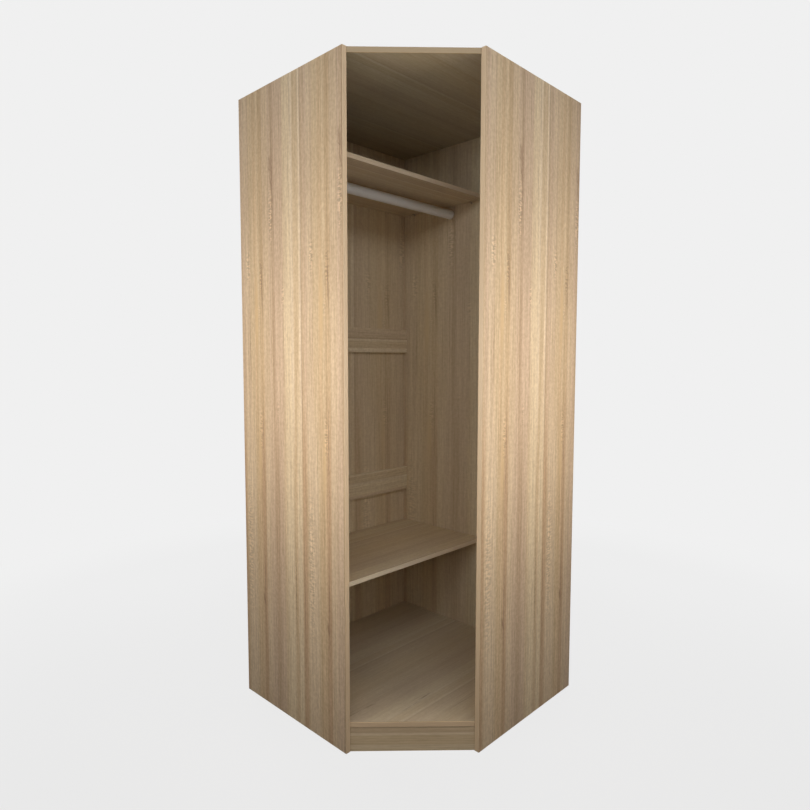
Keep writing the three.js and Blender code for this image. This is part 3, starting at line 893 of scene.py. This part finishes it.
@dataclass
class Carcass:
    """The boards and their edge bands. The print runs upright on walls and sides, and level elsewhere.

    Every board's print is multiplied by a tint of painted shade. Boards without one of their own get the
    inner one,
    which is slightly cool and darker: painted shade inside the wardrobe. The top panel, the upper shelf, the
    bottom panel and the front plinth get darker tints of painted shade, and the outer sides none.
    """

    inner_painted_shade: str = "#F4FBFF"
    # Painted shade: darker, cooler tints for the top panel of the dim upper compartment, the upper shelf, the
    # bottom panel and the front plinth; the outer sides stay plain
    painted_shade_tints: dict[str, str] = field(default_factory=lambda: {
        "left_side_panel": "#FFFFFF",
        "right_side_panel": "#FFFFFF",
        "front_plinth": "#F0F0EC",
        "top_panel": "#CDD7DC",
        "upper_shelf": "#E6ECF1",
        "bottom_panel": "#EBF4FD",
    })
    boards: dict[str, Cut] = field(default_factory=lambda: {
        "left_side_panel": Cut(Grain.UPRIGHT_FACING_Y, 0.396, marked=True),
        "right_side_panel": Cut(Grain.UPRIGHT_FACING_X, 0.1200, marked=True),
        "right_back_panel": Cut(Grain.UPRIGHT_FACING_Y, 0.396, drawn_wider=1.49, marked=True, contrast=0.65),
        "top_panel": Cut(Grain.LYING, 0.180, 2.60, contrast=0.55),
        "bottom_panel": Cut(Grain.LYING, 0.090, 3.10, contrast=0.42, cracks=(
            Mark(0.277, 2.975, 4 * MM, 40 * MM, 3.0, 0.55),
            Mark(0.284, 2.900, 3 * MM, 70 * MM, 2.0, 0.30),
            Mark(0.193, 2.815, 4 * MM, 35 * MM, -3.0, 0.50),
            Mark(0.190, 2.750, 3 * MM, 40 * MM, 0.0, 0.35),
            Mark(0.381, 3.030, 3 * MM, 80 * MM, -2.0, 0.35),
        )),
        "upper_shelf": Cut(Grain.LYING, 0.020, 4.20, contrast=0.55),
        "lower_shelf": Cut(Grain.LYING, 0.275, 5.30, contrast=0.55),
        "upper_back_rail": Cut(Grain.RAIL, 0.098, 6.10, contrast=0.8),
        "lower_back_rail": Cut(Grain.RAIL, 0.300, 7.20, contrast=0.8),
        "front_plinth": Cut(Grain.DIAGONAL, 0.268, 8.15, contrast=0.65, mottled=0.2),
        "rear_plinth": Cut(Grain.RAIL, 0.210, 9.40),
    })
    # The tones given to the top band and to the upper shelf's band are darkened as painted shade, and the
    # lower shelf's band's is lightened as painted light; the bottom band's is close to the plain tone
    bands: dict[str, BandPrint] = field(default_factory=lambda: {
        "left_side_edge_band": BandPrint(Cut(Grain.UPRIGHT_FACING_X, 0.130, 9.0)),
        "right_side_edge_band": BandPrint(Cut(Grain.UPRIGHT_FACING_Y, 0.160, 9.9)),
        "top_edge_band": BandPrint(Cut(Grain.DIAGONAL, 0.070, 2.2), "#A7906D"),
        "bottom_edge_band": BandPrint(Cut(Grain.DIAGONAL, 0.240, 3.1), "#D8BC98"),
        "upper_shelf_edge_band": BandPrint(Cut(Grain.RAIL, 0.060, 4.4), "#C9B69B"),
        "lower_shelf_edge_band": BandPrint(Cut(Grain.RAIL, 0.190, 5.6), "#F2E2C5"),
    })

    def dress(self) -> None:
        """Gives every board and band its own cut of the print."""
        for node, cut in self.boards.items():
            # Painted shade: each board's print gets the tint of its own place, or else the inner one
            painted_shade_tint = self.painted_shade_tints.get(node, self.inner_painted_shade)
            dress([node], MelamineBoard(f"oak_melamine_{node}", OakPrint(cut, painted_shade_tint)).material())
        for node, band in self.bands.items():
            dress([node], AbsEdging(f"oak_abs_{node}", band).material())


@dataclass
class BackSheet:
    """Thin back sheet, and the nails that hold it to the boards and rails in front of it.

    The crown of a nail's head is given by shares of its rise and of its radius.
    """

    cut: Cut = Cut(Grain.UPRIGHT_FACING_X, 0.3795, drawn_wider=1.47, marked=True, contrast=0.65)
    # Tint of painted shade on the printed face, the same slightly cool one as the inner boards'
    painted_shade_tint: str = "#F4FBFF"
    nail_head: float = 3.4 * MM
    nail_rise: float = 0.45 * MM
    nail_shank: float = 1.4 * MM
    nail_sunk: float = 2.0 * MM
    crown: tuple[tuple[float, float], ...] = ((0.5, 0.92), (0.85, 0.6), (1.0, 0.0))
    pitch: float = 130 * MM
    inset: float = 7 * MM
    end_inset: float = 25 * MM
    head_sides: int = 10

    def dress(self) -> None:
        """Gives the sheet its printed face and its bare back."""
        paper = OakPrint(self.cut, self.painted_shade_tint)
        dress(["back_sheet"], PrintedHardboard("oak_hardboard", paper).material())

    def row(self, start: Vector, end: Vector) -> list[Vector]:
        """Spaces nails evenly along a line.

        Args:
            start: First nail.
            end: Last nail.

        Returns:
            The places of all nails of the row.
        """
        count = max(2, round((end - start).length / self.pitch) + 1)
        return [start.lerp(end, index / (count - 1)) for index in range(count)]

    def nail_profile(self) -> list[tuple[float, float]]:
        """Draws half the outline of a nail, from the tip of its shank to the crown of its head.

        Returns:
            Pairs of distance along the nail and radius.
        """
        head, shank = self.nail_head / 2, self.nail_shank / 2
        crown = [(rise * self.nail_rise, width * head) for rise, width in self.crown]
        return [(-self.nail_sunk, 0.0), (-self.nail_sunk, shank), (0.0, shank), (0.0, head), *crown]

    def nail(self, steel: bpy.types.Material) -> None:
        """Nails the sheet to the side, the back board, the lying panels, the rails and the rear plinth.

        Args:
            steel: Plated steel of the nails.
        """
        low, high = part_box("back_sheet")
        back = low.x
        left, right = low.y + self.inset, high.y - self.inset
        foot, head = low.z + self.end_inset, high.z - self.end_inset
        rows = {
            "left_side_nails": ((left, foot), (left, head)),
            "back_board_nails": ((right, foot), (right, head)),
        }
        for node in ("top_panel", "upper_back_rail", "lower_back_rail", "bottom_panel", "rear_plinth"):
            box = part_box(node)
            level = (box[0].z + box[1].z) / 2
            rows[f"{node}_nails"] = ((left + 2 * self.end_inset, level), (right - 2 * self.end_inset, level))
        for name, (start, end) in rows.items():
            places = self.row(Vector((back, *start)), Vector((back, *end)))
            piece = turned(name, self.nail_profile(), places, Vector((-1, 0, 0)), self.head_sides)
            piece.data.materials.append(steel)


@dataclass
class HangingRail:
    """Lacquered steel tube in two moulded end cups. The tube is turned again with fine sections."""

    wall: float = 1.2 * MM
    edge: float = 0.25 * MM
    sides: int = 96

    def tube(self) -> bpy.types.Object:
        """Turns the tube, with the edges of its cut ends slightly broken.

        Returns:
            The piece, which stands for the CAD tube.
        """
        low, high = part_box("hanging_rod")
        radius = (high.x - low.x) / 2
        bore = radius - self.wall
        length = high.y - low.y
        profile = [
            (self.edge, radius), (length - self.edge, radius), (length, radius - self.edge),
            (length, bore + self.edge), (length - self.edge, bore), (self.edge, bore),
            (0.0, bore + self.edge), (0.0, radius - self.edge),
        ]
        foot = Vector(((low.x + high.x) / 2, low.y, (low.z + high.z) / 2))
        piece = turned("lacquered_tube", profile, [foot], Vector((0, 1, 0)), self.sides, closed=True)
        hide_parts("hanging_rod")
        return piece

    def build(self) -> None:
        """Makes the tube and dresses the rail's pieces."""
        self.tube().data.materials.append(GREY_LACQUER.material())
        dress(["left_rod_holder", "right_rod_holder"], GREY_ABS.material())


@dataclass
class Fittings:
    """Cams, bolts, dowels, pins and screws, which keep their CAD shapes."""

    levels: tuple[str, ...] = ("top", "bottom")
    edges: tuple[str, ...] = ("left", "back", "right")

    def dress(self, steel: bpy.types.Material) -> None:
        """Gives each fitting its metal or wood.

        Args:
            steel: Plated steel shared with the nails.
        """
        pairs = [f"{level}_{edge}_{{}}_{number}" for level in self.levels for edge in self.edges
                 for number in (1, 2)]
        dress([pair.format("cam") for pair in pairs], CAST_ZINC.material())
        dress([pair.format("bolt") for pair in pairs], steel)
        dress([f"corner_dowel_{number}" for number in (1, 2, 3)], TURNED_BEECH.material())
        pins = [f"{shelf}_pin_{side}_{end}" for shelf in ("upper_shelf", "lower_shelf")
                for side in ("left", "right") for end in ("rear", "front")]
        dress(pins, PLATED_PIN.material())
        dress(["left_rod_screw", "right_rod_screw"], steel)


# Tones of the lamps
WARM_WHITE = "#FFF3E6"
COOL_WHITE = "#F4F8FF"


@dataclass(frozen=True)
class Lamp:
    """Rectangular soft lamp aimed at a point."""

    name: str
    place: Triple
    aim: Triple
    size: tuple[float, float]
    power: float
    colour: str = "#FFFFFF"

    def build(self) -> None:
        """Hangs the lamp."""
        light = bpy.data.lights.new(self.name, "AREA")
        light.shape = "RECTANGLE"
        light.size, light.size_y = self.size
        light.energy = self.power
        light.color = linear(self.colour)[:3]
        lamp = bpy.data.objects.new(self.name, light)
        lamp.location = self.place
        direction = Vector(self.aim) - Vector(self.place)
        lamp.rotation_euler = direction.to_track_quat("-Z", "Y").to_euler()
        lamp.visible_camera = False
        bpy.context.scene.collection.objects.link(lamp)
        log.info("hung %s", self.name)


@dataclass
class Studio:
    """Pale floor, pale surroundings and soft lamps on both sides of the opening."""

    paper: str = "#F0F0F0"
    floor_grey: str = "#BFBFBF"
    bounce_grey: str = "#8C8C8C"
    floor_roughness: float = 0.9
    floor_radius: float = 14.0
    floor_sides: int = 96
    near: float = 0.9
    far: float = 2.6
    near_share: float = 0.90
    lamps: tuple[Lamp, ...] = (
        Lamp("left_key", (-0.137, -1.2, 1.13), (-0.137, -0.4, 1.13), (0.6, 0.6), 5.45, WARM_WHITE),
        Lamp("right_key", (1.2, 0.165, 1.13), (0.4, 0.165, 1.13), (0.6, 0.6), 5.45, WARM_WHITE),
        Lamp("left_top", (-0.36, -1.15, 1.86), (-0.36, -0.4, 1.86), (0.5, 0.5), 0.45, WARM_WHITE),
        Lamp("right_top", (1.15, 0.36, 1.86), (0.4, 0.36, 1.86), (0.5, 0.5), 0.45, WARM_WHITE),
        Lamp("front_high", (1.315, -1.315, 2.2), (0.0, 0.0, 2.2), (1.6, 0.5), 15.0, COOL_WHITE),
        Lamp("front_low", (0.820, -0.820, 0.97), (0.0, 0.0, 0.97), (1.6, 0.5), 5.0),
        Lamp("sheet_side", (-1.9, 0.0, 1.2), (-0.4, 0.0, 1.1), (1.2, 1.6), 20.0),
        Lamp("board_side", (0.0, 1.9, 1.2), (0.0, 0.4, 1.1), (1.2, 1.6), 20.0),
        Lamp("overhead", (-0.2, 0.2, 3.6), (-0.2, 0.2, 2.0), (1.0, 1.0), 18.0),
    )

    def floor_material(self) -> bpy.types.Material:
        """Paints the floor: matt, with the wardrobe's shadow near it, fading to the surroundings' tone.

        Returns:
            The material.
        """
        material, tree, shader = new_material("pale_studio_floor")
        point = add_node(tree, "ShaderNodeTexCoord").outputs["Object"]
        away = add_node(tree, "ShaderNodeVectorMath", {0: point}, operation="LENGTH").outputs["Value"]
        fade = add_node(tree, "ShaderNodeMapRange",
                        {"Value": away, "From Min": self.near, "From Max": self.far,
                         "To Min": self.near_share}, interpolation_type="SMOOTHSTEP").outputs[0]
        seen = add_node(tree, "ShaderNodeLightPath").outputs["Is Camera Ray"]
        tone = add_node(tree, "ShaderNodeMix",
                        {SHARE: seen, COLOUR_A: linear(self.bounce_grey), COLOUR_B: linear(self.floor_grey)},
                        data_type="RGBA").outputs[MIXED]
        set_inputs(tree, shader, {"Base Color": tone, "Roughness": self.floor_roughness})
        lifted = add_node(tree, "ShaderNodeMath", {0: fade, 1: seen}, operation="MULTIPLY").outputs[0]
        plain = add_node(tree, "ShaderNodeEmission", {"Color": linear(self.paper), "Strength": 1.0})
        mixed = add_node(tree, "ShaderNodeMixShader",
                         {0: lifted, 1: shader.outputs["BSDF"], 2: plain.outputs[0]})
        output = next(node for node in tree.nodes if node.type == "OUTPUT_MATERIAL")
        set_inputs(tree, output, {"Surface": mixed.outputs[0]})
        return material

    def build_floor(self) -> None:
        """Lays a wide round floor, which isn't part of the object."""
        shape = bmesh.new()
        bmesh.ops.create_circle(shape, cap_ends=True, segments=self.floor_sides, radius=self.floor_radius)
        mesh = bpy.data.meshes.new("studio_floor")
        shape.to_mesh(mesh)
        shape.free()
        mesh.materials.append(self.floor_material())
        floor = bpy.data.objects.new("studio_floor", mesh)
        bpy.context.scene.collection.objects.link(floor)
        log.info("laid %s", floor.name)

    def build_surroundings(self) -> None:
        """Sets the world: the paper's tone for the camera and for reflections, and no light on the object."""
        world = bpy.data.worlds.new("studio_surroundings")
        world.use_nodes = True
        tree = world.node_tree
        tree.nodes.clear()
        path = add_node(tree, "ShaderNodeLightPath").outputs
        seen = path["Is Camera Ray"]
        for ray in ("Is Glossy Ray", "Is Transmission Ray"):
            seen = add_node(tree, "ShaderNodeMath", {0: seen, 1: path[ray]}, operation="MAXIMUM").outputs[0]
        back = add_node(tree, "ShaderNodeBackground", {"Color": linear(self.paper), "Strength": seen})
        add_node(tree, "ShaderNodeOutputWorld", {"Surface": back.outputs[0]})
        bpy.context.scene.world = world

    def build(self) -> None:
        """Builds the floor, the surroundings and the lamps."""
        self.build_floor()
        self.build_surroundings()
        for lamp in self.lamps:
            lamp.build()


@dataclass
class PhotographView:
    """Camera at the photograph's place, for a square picture."""

    place: Triple = (1.4480, -1.5267, 1.1542)
    lens_mm: float = 27.462
    sensor_mm: float = 36.0
    heading_deg: float = 45.0
    turned_right_deg: float = 1.061
    tilted_down_deg: float = 4.241
    rolled_deg: float = 0.068

    def build(self) -> None:
        """Sets up the camera."""
        data = bpy.data.cameras.new("photograph_camera")
        data.lens = self.lens_mm
        data.sensor_width = self.sensor_mm
        data.sensor_fit = "HORIZONTAL"
        camera = bpy.data.objects.new("photograph_camera", data)
        turn = Matrix.Rotation(math.radians(self.heading_deg - self.turned_right_deg), 4, "Z")
        tilt = Matrix.Rotation(math.radians(90 - self.tilted_down_deg), 4, "X")
        roll = Matrix.Rotation(math.radians(self.rolled_deg), 4, "Z")
        camera.matrix_world = Matrix.Translation(self.place) @ turn @ tilt @ roll
        bpy.context.scene.collection.objects.link(camera)
        bpy.context.scene.camera = camera


def main() -> None:
    """Builds the scene: camera, studio, boards, back, rail and fittings."""
    logging.basicConfig(level=logging.INFO, format="%(message)s")
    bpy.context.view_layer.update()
    bpy.context.scene.view_settings.view_transform = "Standard"
    PhotographView().build()
    Studio().build()
    Carcass().dress()
    steel = PLATED_STEEL.material()
    back = BackSheet()
    back.dress()
    back.nail(steel)
    HangingRail().build()
    Fittings().dress(steel)


if __name__ == "__main__":
    main()
